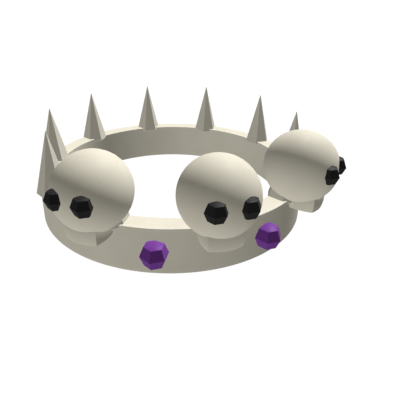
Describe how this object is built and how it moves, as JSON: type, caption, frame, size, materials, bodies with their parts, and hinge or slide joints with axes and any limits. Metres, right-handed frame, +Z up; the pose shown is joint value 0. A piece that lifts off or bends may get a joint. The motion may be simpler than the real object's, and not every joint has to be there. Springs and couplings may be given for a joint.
{
  "type": "skull crown",
  "caption": "Round crown band with six-sided spikes on its rim, small skulls with faceted black eye stones at the front, and faceted purple stones between the skulls.",
  "frame": {"origin": "centre of the head opening at the band's lower rim, on the crown's axis", "axes": "+Z up along the crown's axis, -Y towards the front, where the middle skull is, +X to the right as seen from the front"},
  "size_m": [0.2116, 0.2417, 0.0768],
  "materials": {
    "bone": "smooth cast resin, bone coloured, faint mottling and fine pores",
    "black_stone": "polished opaque black facets",
    "purple_stone": "polished deep purple facets"
  },
  "bodies": {
    "root": {"band": "bone", "spike_1": "bone", "spike_2": "bone", "spike_3": "bone", "spike_4": "bone", "spike_5": "bone", "spike_6": "bone", "spike_7": "bone", "post_left": "bone", "post_middle": "bone", "post_right": "bone", "cranium_left": "bone", "cranium_middle": "bone", "cranium_right": "bone", "jaw_left": "bone", "jaw_middle": "bone", "jaw_right": "bone", "eye_left_left": "black_stone", "eye_left_right": "black_stone", "eye_middle_left": "black_stone", "eye_middle_right": "black_stone", "eye_right_left": "black_stone", "eye_right_right": "black_stone", "stone_left": "purple_stone", "stone_right": "purple_stone"}
  },
  "joints": []
}
